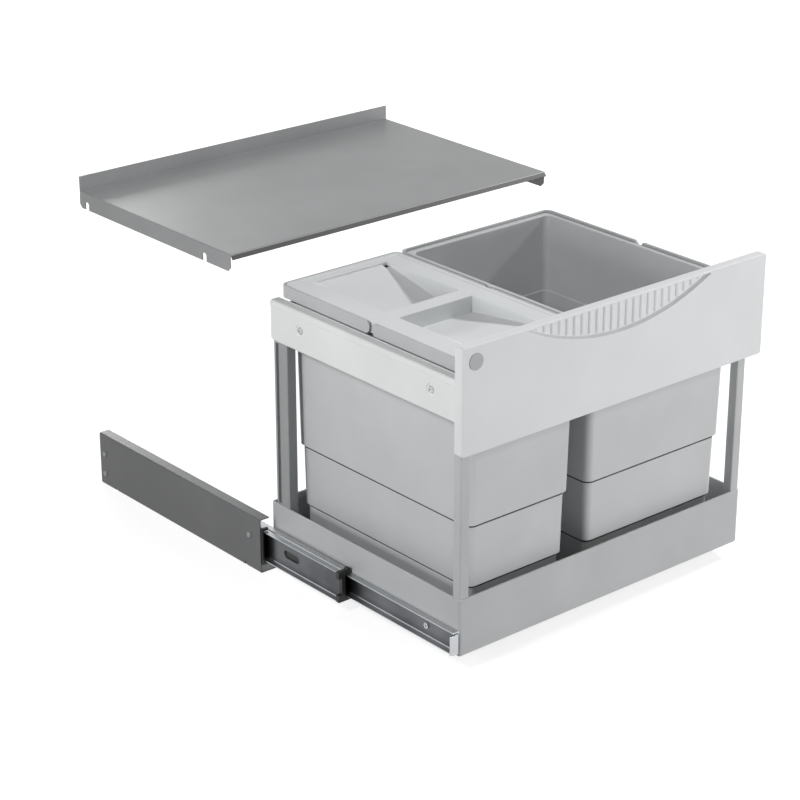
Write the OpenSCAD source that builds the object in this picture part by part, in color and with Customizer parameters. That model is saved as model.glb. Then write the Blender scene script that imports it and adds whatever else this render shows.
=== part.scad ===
// Pull-out bin frame for a base cabinet: a sheet-steel tray on full-extension
// ball slides, four posts, side panels and a handle front, carrying two bins.
// A cover shelf stays in the cabinet above the closed frame.
// Axes: X to the right seen from the front, Y into the cabinet, Z up.
// Origin: middle of the cabinet opening, front edge of the side channels, cabinet floor.
// Shown drawn out; the frame slides in along +Y by pull_out.

/* [Cabinet] */
// clear width between the cabinet sides
cabinet_w = 564; // [544:2:580]
// length of the side channels
channel_len = 386; // [376:2:400]
// height of the side channels
channel_h = 80; // [78:1:90]
// how far the frame is drawn out
pull_out = 374; // [350:2:374]

/* [Frame] */
// depth of the tray, front to back
tray_d = 382; // [378:1:388]
// height of the tray walls
tray_h = 80; // [70:1:96]
// tray underside above the cabinet floor
tray_lift = 18; // [16:1:19]
// sheet thickness of the tray
tray_t = 1.5; // [1.2:0.1:1.8]
// top of the side panels above the floor
side_top = 390; // [382:1:392]
// height of the side panels
side_h = 57; // [50:1:66]
// side of a front post, across
post_w = 15; // [13:0.5:16]
// front post, front to back
post_d = 14; // [12:0.5:16]
// rear post, front to back
rear_post_d = 28; // [22:1:30]

/* [Front panel] */
// width of the front panel
front_w = 532; // [524:2:552]
// height of the front panel
front_h = 141; // [130:1:150]
// top of the front panel above the floor
front_top = 439; // [434:1:448]
// thickness of the front panel in front of the tray
front_t = 13; // [12:0.5:16]
// half the width of the grip recess
grip_half = 161; // [140:1:180]
// greatest height of the grip recess
grip_h = 40; // [32:1:46]
// depth of the grip recess
grip_deep = 5; // [4:0.5:6]
// number of grip ribs
grip_ribs = 25; // [19:2:27]

/* [Bins] */
// width of the left bin over its handles
left_bin_w = 200; // [190:2:210]
// room left in the tray's depth by the bins with their handles
bin_room = 10; // [9:0.5:16]
// top of the bin rims above the floor
rim_top = 405; // [404:1:412]
// wall of the bins
bin_t = 2; // [1.6:0.1:2.4]
// outer corner radius of the bins below their rim
bin_r = 11; // [9:0.5:16]
// first step of the outside, above the floor
step_high = 183; // [170:1:200]
// second step of the outside, above the floor
step_low = 96; // [84:1:110]
// inward set of each step
step_in = 3; // [2:0.5:4]
// inside ledge, above the floor
ledge_z = 294; // [270:1:310]
// height of the carrying handles
handle_h = 17; // [14:0.5:18]
// thickness of the carrying handles
handle_t = 3.5; // [3:0.1:4]

/* [Lid] */
// thickness of the lid plate
lid_t = 3; // [2.5:0.1:3.4]
// depth of the finger pocket in front of the grip bar
pocket_front_deep = 23; // [16:1:30]
// depth of the finger pocket behind the grip bar
pocket_back_deep = 33; // [18:1:36]
// half the width of the grip bar on top
bar_half = 13; // [12:1:18]

/* [Cover shelf] */
// top of the cover shelf above the floor
cover_z = 443; // [438:1:450]
// front edge of the cover shelf
cover_front = 51; // [40:1:70]
// depth of the cover shelf
cover_d = 356; // [340:1:380]
// upturned back edge of the cover shelf
cover_back_h = 21; // [16:1:40]
// downturned sides of the cover shelf
cover_side_h = 24; // [20:1:26]

/* [Hidden] */

steel = "#8f9193";
channel_grey = "#646566";
tray_grey = "#b9bbbc";
panel_white = "#dfe0e0";
bin_grey = "#b4b6b7";
black = "#1c1c1d";

// room between the tray wall and the cabinet side, filled by channel and slide
side_room = 27;
tray_w = cabinet_w - 2 * side_room;
half_w = tray_w / 2;
front_y = -pull_out;
back_y = front_y + tray_d;
floor_z = tray_lift + tray_t;
tray_top = tray_lift + tray_h;
sheet_t = 1.5;
channel_top_w = 16;
channel_foot_w = 29.6;
slide_z = channel_h / 2;
// places along the channel, from its front edge
channel_tab_y = 40;
channel_notch_in = 36;
foot_screw_in = 25;
foot_screw_back_in = 20;
foot_screw_mid_in = 161;
foot_screw_r = 2.5;

// slide section, measured outward from the tray wall and up from slide_z
tray_rail_half = 16;
tray_rail_out = 10.5;
tray_rail_t = 1.5;
right_rail_in = 14;
middle_half = 22;
middle_t = 2;
middle_web_in = 12.5;
middle_web_out = 14;
middle_in = 3.5;
middle_out = 22.5;
cabinet_rail_half = 27;
cabinet_rail_in = 15.5;
cabinet_rail_out = side_room - sheet_t;
inner_ball_u = 7;
inner_ball_v = (tray_rail_half + middle_half - middle_t) / 2;
inner_ball_r = 2.3;
outer_ball_u = 19;
outer_ball_v = (middle_half + cabinet_rail_half - sheet_t) / 2;
outer_ball_r = 1.9;
track_clear = 0.05;
cage_t = 0.8;
ball_pitch = 30;
middle_set_back = 30;
middle_len = channel_len - 36;
middle_slot_y = 105;
middle_slot_r = 5;
middle_slot_len = 10;
middle_front = middle_set_back - pull_out / 2;
inner_cage_front = middle_front + 10;
outer_cage_front = 12;
cage_len = 140;

// posts stand inside the tray walls
post_out = half_w - tray_t;
post_top = side_top - 4;
post_t = 1.5;
post_r = 2;
panel_skin = 3;
panel_out = post_out + panel_skin;
panel_top_in = half_w - 14;
panel_foot = side_top - side_h;
side_bar_t = 3;
side_bar_h = 22;
bar_mid_z = panel_foot + side_h / 2 + 2;
panel_back_y = front_y + tray_t;
rear_post_back = back_y - 10;
rear_post_front = rear_post_back - rear_post_d;
side_end_y = back_y - 8;
screw_front_y = front_y + 56;
screw_back_y = side_end_y - 61;
screw_r = 2;
screw_hole_r = screw_r + 0.05;
dimple_r = 9;
dimple_deep = 1.4;

// bins
bin_gap = 3;
bins_half = half_w - 15;
bin_d = tray_d - bin_room;
right_bin_w = 2 * bins_half - left_bin_w - bin_gap;
left_bin_x = -bins_half + left_bin_w / 2;
right_bin_x = bins_half - right_bin_w / 2;
bin_y = front_y + 2 + bin_d / 2;
handle_gap = 0.5;
skirt_in = handle_t + handle_gap;
skirt_t = 2;
opening_in = 13;
rim_t = 2.5;
rim_r = 8;
handle_r = rim_r + 3;
handle_top = rim_top + lid_t;
handle_low = handle_top - handle_h;
pivot_z = handle_low + handle_h / 2;
pivot_y = handle_h / 2 + 3.5;
pin_r = 2.5;
taper = 0.014;
bin_floor_t = 2.5;
foot_h = 4;

// lid, measured from the middle of the bin
bar_shift = 5;
pocket_side_in = 38;
pocket_slope_in = 34;
pocket_end_in = 28;
pocket_notch = 8;
pocket_deeps = [pocket_back_deep, pocket_front_deep];

// cover shelf hooks
hook_front_in = 58;
hook_back_in = 19;
hook_r = 4.5;

// front panel
front_z = front_top - front_h;
front_face_y = front_y - front_t;
grip_top = front_top - 3;
grip_r = (grip_half * grip_half + grip_h * grip_h) / (2 * grip_h);
rib_pitch = 2 * grip_half / grip_ribs;

module along_y(y0, y1) {
  translate([0, y1, 0])
    rotate([90, 0, 0])
      linear_extrude(height = y1 - y0)
        children();
}

module on_left() {
  mirror([1, 0, 0])
    children();
}

module rounded(w, d, r) {
  square([w - 2 * r, d], center = true);
  square([w, d - 2 * r], center = true);
  for (sx = [-1, 1], sy = [-1, 1])
    translate([sx * (w / 2 - r), sy * (d / 2 - r)])
      circle(r = r, $fn = 48);
}

// a rectangle in the slide section: outward from u0 to u1, up from v0 to v1
module bar2(u0, u1, v0, v1) {
  translate([half_w + u0, slide_z + v0])
    square([u1 - u0, v1 - v0]);
}

module tracks(u, v, r) {
  for (s = [-1, 1])
    translate([half_w + u, slide_z + s * v])
      circle(r = r + track_clear, $fn = 48);
}

// cabinet side channel with its long foot and short top flange
module channel() {
  difference() {
    union() {
      along_y(0, channel_len) {
        translate([half_w + side_room - sheet_t, 0])
          square([sheet_t, channel_h]);
        translate([half_w + side_room - channel_top_w, channel_h - sheet_t])
          square([channel_top_w, sheet_t]);
        translate([half_w + side_room - channel_foot_w, 0])
          square([channel_foot_w, sheet_t]);
      }
      // short tab bent inward at the foot
      translate([half_w + side_room - 6, channel_tab_y, 0])
        cube([6, sheet_t, 7]);
    }
    for (y = [channel_notch_in, channel_len - channel_notch_in])
      translate([half_w + side_room - sheet_t - 1, y - 4, -1])
        cube([sheet_t + 2, 4, 6]);
    for (y = [foot_screw_in, channel_len - foot_screw_mid_in, channel_len - foot_screw_back_in])
      translate([half_w + 7, y, -1])
        cylinder(r = foot_screw_r, h = sheet_t + 2, $fn = 48);
    for (p = rivet_places())
      translate([half_w + side_room - sheet_t - 1, p[0], p[1]])
        rotate([0, 90, 0])
          cylinder(r = screw_hole_r, h = sheet_t + 2, $fn = 48);
  }
}

function rivet_places() = [
  [25, slide_z + 9],
  [channel_len - 11, slide_z + 9],
  [channel_len - 11, slide_z - 22]
];

module rivet(p) {
  translate([half_w + side_room, p[0], p[1]])
    rotate([0, 90, 0]) {
      cylinder(r1 = 3.6, r2 = 2.4, h = 1.2, $fn = 48);
      translate([0, 0, -2 * sheet_t])
        cylinder(r = screw_r, h = 2 * sheet_t, $fn = 48);
    }
}

// outer slide member, open towards the tray
module cabinet_rail() {
  difference() {
    along_y(0, channel_len - 4)
      difference() {
        union() {
          bar2(cabinet_rail_out - sheet_t, cabinet_rail_out, -cabinet_rail_half, cabinet_rail_half);
          for (s = [-1, 1])
            bar2(cabinet_rail_in, cabinet_rail_out,
              s * (cabinet_rail_half - sheet_t / 2) - sheet_t / 2,
              s * (cabinet_rail_half - sheet_t / 2) + sheet_t / 2);
        }
        tracks(outer_ball_u, outer_ball_v, outer_ball_r);
      }
    for (p = rivet_places())
      translate([half_w + cabinet_rail_out - sheet_t - 1, p[0], p[1]])
        rotate([0, 90, 0])
          cylinder(r = screw_hole_r, h = sheet_t + 2, $fn = 48);
  }
}

// black plastic end piece of the outer member
module rail_bumper() {
  along_y(-3, 0) {
    bar2(23, cabinet_rail_out, -cabinet_rail_half, cabinet_rail_half);
    for (s = [-1, 1])
      bar2(cabinet_rail_in, cabinet_rail_out, s * 25 - 2, s * 25 + 2);
  }
}

// middle member: two channels back to back
module middle_rail() {
  difference() {
    along_y(middle_front, middle_front + middle_len)
      difference() {
        union() {
          bar2(middle_web_in, middle_web_out, -middle_half, middle_half);
          for (s = [-1, 1])
            bar2(middle_in, middle_out, s * (middle_half - middle_t / 2) - middle_t / 2,
              s * (middle_half - middle_t / 2) + middle_t / 2);
        }
        tracks(inner_ball_u, inner_ball_v, inner_ball_r);
        tracks(outer_ball_u, outer_ball_v, outer_ball_r);
      }
    // oval slot in the web near the channel
    translate([half_w + middle_web_in - 1, middle_front + middle_slot_y, slide_z])
      rotate([0, 90, 0])
        linear_extrude(height = middle_t + 2)
          rounded(2 * middle_slot_r, middle_slot_len + 2 * middle_slot_r, middle_slot_r - 0.01);
  }
}

module middle_stop() {
  along_y(middle_front - 6, middle_front)
    difference() {
      bar2(middle_in - 0.5, middle_out, -middle_half, middle_half);
      bar2(middle_in - 1.5, 11.2, -16.6, 16.6);
      bar2(17, middle_out + 1, -12, 12);
    }
  // nub on the top edge
  translate([half_w + middle_in + 2.5, middle_front - 6, slide_z + middle_half])
    rotate([-90, 0, 0])
      cylinder(r = 3, h = 6, $fn = 48);
}

module cage(front, web_u, flange_u0, flange_u1, v, ball_u, ball_r) {
  along_y(front, front + cage_len) {
    bar2(web_u, web_u + cage_t, -v - cage_t / 2, v + cage_t / 2);
    for (s = [-1, 1])
      bar2(min(flange_u0, web_u), flange_u1, s * v - cage_t / 2, s * v + cage_t / 2);
  }
  for (s = [-1, 1], i = [0:4])
    translate([half_w + ball_u, front + 10 + i * ball_pitch, slide_z + s * v])
      sphere(r = ball_r, $fn = 32);
}

module inner_cage() {
  cage(inner_cage_front, 11, 4.2, 11.8, inner_ball_v, inner_ball_u, inner_ball_r);
}

module outer_cage() {
  cage(outer_cage_front, 22.9, 16.2, 23.7, outer_ball_v, outer_ball_u, outer_ball_r);
}

// inner slide member on the tray wall; the left one has a bent end tab in front
module tray_rail(set_back, tab) {
  difference() {
    union() {
      along_y(front_y + set_back, back_y - 2)
        difference() {
          union() {
            bar2(0, tray_rail_t, -tray_rail_half, tray_rail_half);
            for (s = [-1, 1])
              bar2(0, tray_rail_out,
                s * (tray_rail_half - tray_rail_t / 2) - tray_rail_t / 2,
                s * (tray_rail_half - tray_rail_t / 2) + tray_rail_t / 2);
          }
          tracks(inner_ball_u, inner_ball_v, inner_ball_r);
        }
      if (tab)
        along_y(front_y, front_y + sheet_t)
          bar2(0, 14.8, -14.5, 12);
    }
    for (y = rail_screw_ys())
      translate([half_w - 1, y, slide_z])
        rotate([0, 90, 0])
          cylinder(r = screw_hole_r, h = 4, $fn = 48);
  }
}

function rail_screw_ys() = [front_y + 60, back_y - 60];

module rail_screw(y) {
  translate([half_w + tray_rail_t, y, slide_z])
    rotate([0, 90, 0]) {
      difference() {
        cylinder(r = 4, h = 2, $fn = 48);
        translate([-2.4, -0.5, 1])
          cube([4.8, 1, 2]);
        translate([-0.5, -2.4, 1])
          cube([1, 4.8, 2]);
      }
      translate([0, 0, -tray_rail_t - tray_t - 2])
        cylinder(r = screw_r, h = tray_rail_t + tray_t + 2, $fn = 48);
    }
}

// tray: folded sheet box with a hemmed top edge, notched round the posts
module tray() {
  hem_h = 9;
  hem_t = 1.5;
  corner_r = 3;
  difference() {
    union() {
      translate([0, front_y + tray_d / 2, tray_lift])
        linear_extrude(height = tray_h)
          difference() {
            rounded(tray_w, tray_d, corner_r);
            rounded(tray_w - 2 * tray_t, tray_d - 2 * tray_t, corner_r - tray_t);
          }
      translate([0, front_y + tray_d / 2, tray_lift])
        linear_extrude(height = tray_t)
          rounded(tray_w, tray_d, corner_r);
      translate([0, front_y + tray_d / 2, tray_top - hem_h])
        linear_extrude(height = hem_h)
          difference() {
            square([tray_w - 2 * tray_t + 0.2, tray_d - 2 * tray_t + 0.2], center = true);
            square([tray_w - 2 * (tray_t + hem_t), tray_d - 2 * (tray_t + hem_t)], center = true);
          }
      // low ribs that keep the feet of the bins in place
      for (x = rib_places())
        translate([x - 1.5, front_y + 50, floor_z - 0.2])
          cube([3, tray_d - 100, 5.2]);
    }
    for (s = [-1, 1]) {
      translate([s * (post_out - post_w / 2) - post_w / 2, front_y + tray_t, tray_top - hem_h - 1])
        cube([post_w, post_d, hem_h + 2]);
      translate([s * (post_out - post_w / 2) - post_w / 2, rear_post_front, tray_top - hem_h - 1])
        cube([post_w, rear_post_d, hem_h + 2]);
    }
    for (s = [-1, 1], y = rail_screw_ys())
      translate([s * half_w - 3, y, slide_z])
        rotate([0, 90, 0])
          cylinder(r = screw_hole_r, h = 6, $fn = 48);
  }
}

function rib_places() = [
  left_bin_x - wall_at(left_bin_w, floor_z, 2) / 2 - 2,
  left_bin_x + wall_at(left_bin_w, floor_z, 2) / 2 + 2,
  right_bin_x - wall_at(right_bin_w, floor_z, 2) / 2 - 2,
  right_bin_x + wall_at(right_bin_w, floor_z, 2) / 2 + 2
];

// square tube that carries the front and the side panel
module front_post() {
  difference() {
    translate([post_out - post_w / 2, front_y + tray_t + post_d / 2, floor_z])
      linear_extrude(height = post_top - floor_z)
        difference() {
          rounded(post_w, post_d, post_r);
          square([post_w - 2 * post_t, post_d - 2 * post_t], center = true);
        }
    for (z = front_screw_zs())
      translate([post_out - post_w / 2, front_y, z])
        rotate([-90, 0, 0])
          cylinder(r = screw_hole_r, h = post_d + 3, $fn = 48);
  }
}

function front_screw_zs() = [front_z + 14, front_z + 70];

// rear post: folded section with a groove down its outer face
module rear_post() {
  groove_w = 6;
  difference() {
    translate([post_out - post_w, rear_post_front, floor_z])
      cube([post_w, rear_post_d, post_top - floor_z]);
    translate([post_out - post_w + post_t, rear_post_front + post_t, floor_z - 1])
      cube([post_w - 2 * post_t, rear_post_d - 2 * post_t, post_top - floor_z + 2]);
    translate([post_out - post_t - 1, rear_post_back - 5 - groove_w, tray_top + 2])
      cube([post_t + 2, groove_w, panel_foot - tray_top - 4]);
  }
}

// flat bar between the posts, behind the side panel
module side_bar() {
  difference() {
    translate([post_out - side_bar_t, front_y + tray_t + post_d, bar_mid_z - side_bar_h / 2])
      cube([side_bar_t, rear_post_front - front_y - tray_t - post_d, side_bar_h]);
    for (y = [screw_front_y, screw_back_y])
      translate([post_out - side_bar_t - 1, y, bar_mid_z])
        rotate([0, 90, 0])
          cylinder(r = screw_hole_r, h = side_bar_t + 2, $fn = 48);
  }
}

// channel that joins the two rear posts
module rear_bar() {
  bar_top = post_top - 4;
  bar_h = 34;
  bar_d = 8;
  half = post_out - post_w;
  translate([-half, rear_post_back - bar_d, bar_top - bar_h])
    difference() {
      cube([2 * half, bar_d, bar_h]);
      translate([-1, -1, sheet_t])
        cube([2 * half + 2, bar_d - sheet_t + 1, bar_h - 2 * sheet_t]);
    }
}

// side panel: skin with a rounded top ledge and a narrow foot
module side_panel() {
  ledge_t = 4;
  foot_in = half_w - 10;
  lip_r = 3;
  difference() {
    along_y(panel_back_y, side_end_y) {
      translate([post_out, panel_foot])
        square([panel_skin, side_h - lip_r]);
      translate([panel_top_in, side_top - ledge_t])
        square([panel_out - lip_r - panel_top_in, ledge_t]);
      translate([panel_out - lip_r, side_top - lip_r])
        circle(r = lip_r, $fn = 48);
      translate([post_out, side_top - ledge_t])
        square([panel_skin, 1]);
      translate([foot_in, panel_foot])
        square([panel_out - foot_in, 2]);
      // small bead along the inner edge of the ledge
      translate([panel_top_in + 1, side_top])
        circle(r = 1, $fn = 24);
    }
    // room for the posts
    translate([post_out - post_w - 0.3, front_y, panel_foot - 1])
      cube([post_w + 0.3, tray_t + post_d + 0.3, side_h - ledge_t + 1]);
    translate([post_out - post_w - 0.3, rear_post_front - 0.3, panel_foot - 1])
      cube([post_w + 0.3, rear_post_d + 0.6, side_h - ledge_t + 1]);
    // lower back corner cut off
    translate([half_w - 20, side_end_y, panel_foot - 4])
      rotate([45, 0, 0])
        cube([30, 5, 5]);
    for (y = [screw_front_y, screw_back_y]) {
      translate([post_out - 1, y, bar_mid_z])
        rotate([0, 90, 0])
          cylinder(r = screw_hole_r, h = panel_skin + 2, $fn = 48);
      translate([panel_out - dimple_deep, y, bar_mid_z])
        rotate([0, 90, 0])
          cylinder(r1 = dimple_r - 2.6, r2 = dimple_r, h = dimple_deep + 0.1, $fn = 48);
    }
  }
}

module panel_screw(y) {
  translate([panel_out - dimple_deep, y, bar_mid_z])
    rotate([0, 90, 0]) {
      difference() {
        cylinder(r1 = 5, r2 = 3.6, h = 2, $fn = 48);
        translate([0, 0, 0.8])
          cylinder(r = 1.8, h = 2, $fn = 6);
      }
      translate([0, 0, -panel_skin - side_bar_t])
        cylinder(r = screw_r, h = panel_skin + side_bar_t, $fn = 48);
    }
}

// front panel: hollow at the back, with a ribbed grip recess in its face
module front_panel() {
  depth = panel_back_y - front_face_y;
  skin = 3;
  well_floor = depth - skin;
  well_half = post_out - post_w - 3;
  difference() {
    along_y(front_face_y, panel_back_y)
      translate([0, front_z + front_h / 2])
        rounded(front_w, front_h, 4);
    grip_cut();
    // hollows behind the skin, parted by ribs
    for (i = [-2:2])
      translate([i * well_half / 2.5 - well_half / 5 + 1.5, front_face_y + skin, front_z + skin])
        cube([well_half / 2.5 - 3, depth, front_h - grip_h - skin - 10]);
    for (i = [-2:2])
      translate([i * well_half / 2.5 - well_half / 5 + 1.5, front_face_y + skin + grip_deep + 1,
          front_z + front_h - grip_h - 4])
        cube([well_half / 2.5 - 3, depth, grip_h + 1 - skin]);
    for (s = [-1, 1], z = front_screw_zs())
      translate([s * (post_out - post_w / 2), panel_back_y - 9, z])
        rotate([-90, 0, 0])
          cylinder(r = screw_hole_r, h = 10, $fn = 48);
  }
  grip_rib_row();
}

function grip_low(x) = grip_top + grip_r - grip_h - sqrt(grip_r * grip_r - x * x);

// recess bounded above by the top edge and below by a shallow arc
module grip_cut() {
  intersection() {
    translate([0, front_face_y + grip_deep, grip_top + grip_r - grip_h])
      rotate([90, 0, 0])
        cylinder(r1 = grip_r - 2.5, r2 = grip_r + 0.5, h = grip_deep + 1, $fn = 240);
    translate([-grip_half - 4, front_face_y - 1, grip_top - grip_h - 4])
      cube([2 * grip_half + 8, grip_deep + 1, grip_h + 4]);
  }
}

module grip_rib_row() {
  rib_r = 2.6;
  for (i = [-(grip_ribs - 3) / 2:(grip_ribs - 3) / 2]) {
    x = i * rib_pitch;
    low = grip_low(abs(x) + rib_r) + 1.6;
    if (grip_top - low > 1)
      translate([x, front_face_y + grip_deep + 1, low])
        cylinder(r = rib_r, h = grip_top - low + 0.2, $fn = 32);
  }
}

module front_screw(z) {
  translate([post_out - post_w / 2, front_y + tray_t + post_d, z])
    rotate([-90, 0, 0]) {
      difference() {
        cylinder(r = 4, h = 2.2, $fn = 48);
        translate([0, 0, 1.2])
          cylinder(r = 2, h = 2, $fn = 6);
      }
      translate([0, 0, -post_d - 8])
        cylinder(r = screw_r, h = post_d + 8, $fn = 48);
    }
}

// one tapered length of a bin: size at the top z1, narrowing to z0
module tier(w, d, r, z0, z1) {
  k = 2 * taper * (z1 - z0);
  translate([0, 0, z1])
    mirror([0, 0, 1])
      linear_extrude(height = z1 - z0, scale = [(w - k) / w, (d - k) / d], slices = 1)
        tier_shape(w, d, r);
}

module tier_shape(w, d, r) {
  square([w - 2 * r, d], center = true);
  square([w, d - 2 * r], center = true);
  for (sx = [-1, 1], sy = [-1, 1])
    translate([sx * (w / 2 - r), sy * (d / 2 - r)])
      circle(r = r, $fn = 32);
}

// lower sizes of a bin that measures w over its handles
function wall_at(w, z, steps) = w - 2 * (opening_in - bin_t) - 2 * steps * step_in
  - 2 * taper * (rim_top - z);

module bin(x, w) {
  translate([x, bin_y, 0])
    bin_body(w, bin_d);
}

module bin_body(w, d) {
  difference() {
    union() {
      tier(wall_at(w, rim_top, 0), wall_at(d, rim_top, 0), bin_r, step_high, rim_top - rim_t / 2);
      tier(wall_at(w, step_high, 1), wall_at(d, step_high, 1), bin_r, step_low, step_high);
      tier(wall_at(w, step_low, 2), wall_at(d, step_low, 2), bin_r, floor_z + foot_h, step_low);
      translate([0, 0, floor_z + foot_h])
        mirror([0, 0, 1])
          linear_extrude(height = foot_h, scale = 0.965, slices = 1)
            tier_shape(wall_at(w, floor_z + foot_h, 2), wall_at(d, floor_z + foot_h, 2), bin_r - 3);
      // flat rim and its downturned skirt
      translate([0, 0, rim_top - rim_t])
        linear_extrude(height = rim_t)
          rounded(w - 2 * skirt_in, d - 2 * skirt_in, rim_r);
      translate([0, 0, handle_low + 1])
        linear_extrude(height = rim_top - handle_low - 1.5)
          difference() {
            rounded(w - 2 * skirt_in, d - 2 * skirt_in, rim_r);
            rounded(w - 2 * (skirt_in + skirt_t), d - 2 * (skirt_in + skirt_t), rim_r - skirt_t);
          }
    }
    // inside, with its ledge
    tier(wall_at(w, rim_top + 1, 0) - 2 * bin_t, wall_at(d, rim_top + 1, 0) - 2 * bin_t,
      bin_r - bin_t, ledge_z, rim_top + 1);
    tier(wall_at(w, ledge_z, 0) - 2 * bin_t - 3, wall_at(d, ledge_z, 0) - 2 * bin_t - 3,
      bin_r - bin_t, step_high + 2, ledge_z + 0.01);
    tier(wall_at(w, step_high, 1) - 2 * bin_t, wall_at(d, step_high, 1) - 2 * bin_t,
      bin_r - bin_t, step_low + 2, step_high + 2.01);
    tier(wall_at(w, step_low, 2) - 2 * bin_t, wall_at(d, step_low, 2) - 2 * bin_t,
      bin_r - bin_t, floor_z + bin_floor_t, step_low + 2.01);
    // bearing holes of the handles
    for (sx = [-1, 1], sy = [-1, 1])
      translate([sx * (w / 2 - skirt_in - skirt_t / 2) - skirt_t, sy * pivot_y, pivot_z])
        rotate([0, 90, 0])
          cylinder(r = pin_r + 0.05, h = 2 * skirt_t, $fn = 48);
  }
}

// half of the strip round a bin that measures w over its handles
module handle_strip(w) {
  translate([0, 0, handle_low])
    linear_extrude(height = handle_h)
      intersection() {
        difference() {
          rounded(w, bin_d, handle_r);
          rounded(w - 2 * handle_t, bin_d - 2 * handle_t, handle_r - handle_t);
        }
        translate([-w, pivot_y])
          square([2 * w, bin_d]);
      }
}

module handle_pin(s) {
  translate([-s * (handle_t / 2 + 1.25), 0, 0])
    rotate([0, 90, 0])
      cylinder(r = pin_r, h = 3.5, center = true, $fn = 48);
}

// back handle: round ends at its pivots
module handle_back(x, w) {
  translate([x, bin_y, 0]) {
    handle_strip(w);
    for (s = [-1, 1])
      translate([s * (w / 2 - handle_t / 2), pivot_y, pivot_z]) {
        rotate([0, 90, 0])
          cylinder(r = handle_h / 2, h = handle_t, center = true, $fn = 64);
        handle_pin(s);
      }
  }
}

// front handle: square ends with small corner radii
module handle_front(x, w) {
  end_r = 3;
  translate([x, bin_y, 0]) {
    mirror([0, 1, 0])
      handle_strip(w);
    for (s = [-1, 1])
      translate([s * (w / 2 - handle_t / 2), -pivot_y, pivot_z]) {
        rotate([0, 90, 0])
          linear_extrude(height = handle_t, center = true) {
            translate([0, handle_h / 4 - 1])
              rounded(handle_h, handle_h / 2 + 2, end_r);
            translate([-handle_h / 2, -2])
              square([handle_h, handle_h / 2]);
          }
        handle_pin(s);
      }
  }
}

// finger pocket behind the grip bar; grow makes its outside
module pocket(pocket_deep, grow) {
  right_x = left_bin_w / 2 - pocket_side_in + grow;
  left_x = -left_bin_w / 2 + pocket_side_in - grow;
  low_left_x = left_x + pocket_slope_in;
  bar_low = bar_half + 1 - grow;
  far_y = bin_d / 2 - pocket_end_in + grow;
  top = grow > 0 ? -0.5 : 1;
  deep = -pocket_deep - grow;
  shallow = -3.5 - grow;
  bar_y = bar_half - grow;
  polyhedron(
    points = [
      [left_x, bar_y, top], [right_x, bar_y, top], [right_x, far_y, top], [left_x, far_y, top],
      [low_left_x, bar_low, deep], [right_x, bar_low, deep],
      [right_x, far_y, shallow], [left_x + 8, far_y, shallow]
    ],
    faces = [
      [0, 3, 2], [0, 2, 1],
      [4, 5, 6], [4, 6, 7],
      [0, 1, 5], [0, 5, 4],
      [1, 2, 6], [1, 6, 5],
      [2, 3, 7], [2, 7, 6],
      [3, 0, 4], [3, 4, 7]
    ]
  );
}

module lid() {
  w = left_bin_w - 2 * skirt_in;
  d = bin_d - 2 * skirt_in;
  plug_w = left_bin_w - 2 * opening_in - 1;
  plug_d = bin_d - 2 * opening_in - 1;
  translate([left_bin_x, bin_y, handle_top])
    difference() {
      union() {
        translate([0, 0, -lid_t])
          linear_extrude(height = lid_t)
            rounded(w, d, rim_r);
        // skirt that drops into the bin
        translate([0, 0, -lid_t - 8])
          linear_extrude(height = 8.2)
            difference() {
              rounded(plug_w, plug_d, bin_r - bin_t);
              rounded(plug_w - 4, plug_d - 4, bin_r - bin_t - 2);
            }
        for (s = [0, 1])
          translate([0, bar_shift, 0])
            mirror([0, s, 0])
              pocket(pocket_deeps[s], 2);
      }
      for (s = [0, 1])
        translate([0, bar_shift, 0])
          mirror([0, s, 0]) {
            pocket(pocket_deeps[s], 0);
            // square notch in the far corner
            translate([
              left_bin_w / 2 - pocket_side_in - pocket_notch,
              bin_d / 2 - pocket_end_in - pocket_notch,
              -lid_t - 6
            ])
              cube([pocket_notch, pocket_notch, lid_t + 7]);
          }
      // fine outline near the edge
      translate([0, 0, -0.6])
        linear_extrude(height = 1)
          difference() {
            rounded(w - 12, d - 12, rim_r - 3);
            rounded(w - 14, d - 14, rim_r - 4);
          }
    }
}

// cover shelf: upturned back, downturned hook sides, nosed front
module cover_shelf() {
  cover_half = cabinet_w / 2 - 1;
  back = cover_front + cover_d;
  under = cover_z - sheet_t;
  translate([-cover_half, cover_front, under])
    cube([2 * cover_half, cover_d, sheet_t]);
  translate([-cover_half, back - sheet_t, under])
    cube([2 * cover_half, sheet_t, cover_back_h + sheet_t]);
  for (s = [-1, 1])
    translate([s * (cover_half - sheet_t / 2), 0, 0])
      rotate([90, 0, 90])
        translate([0, 0, -sheet_t / 2])
          linear_extrude(height = sheet_t)
            difference() {
              translate([cover_front, cover_z - cover_side_h])
                square([cover_d, cover_side_h - 0.2]);
              // hook notches
              for (y = [cover_front + hook_front_in, back - hook_back_in]) {
                translate([y, cover_z - cover_side_h + 7])
                  circle(r = hook_r, $fn = 32);
                translate([y - hook_r, cover_z - cover_side_h - 1])
                  square([2 * hook_r, 8]);
              }
              translate([cover_front, cover_z - cover_side_h])
                rotate(45)
                  square([7, 7], center = true);
              translate([back, cover_z - cover_side_h])
                rotate(45)
                  square([6, 6], center = true);
            }
  // nose bent forward and down, a little wider than the shelf
  translate([0, cover_front + 0.4, cover_z - sheet_t])
    rotate([-130, 0, 0])
      linear_extrude(height = sheet_t, center = true)
        polygon([
          [-cover_half, 0], [-cover_half, 7.5],
          [cover_half - 3, 7.5], [cabinet_w / 2, 0.6], [cover_half, 0]
        ]);
}

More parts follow.
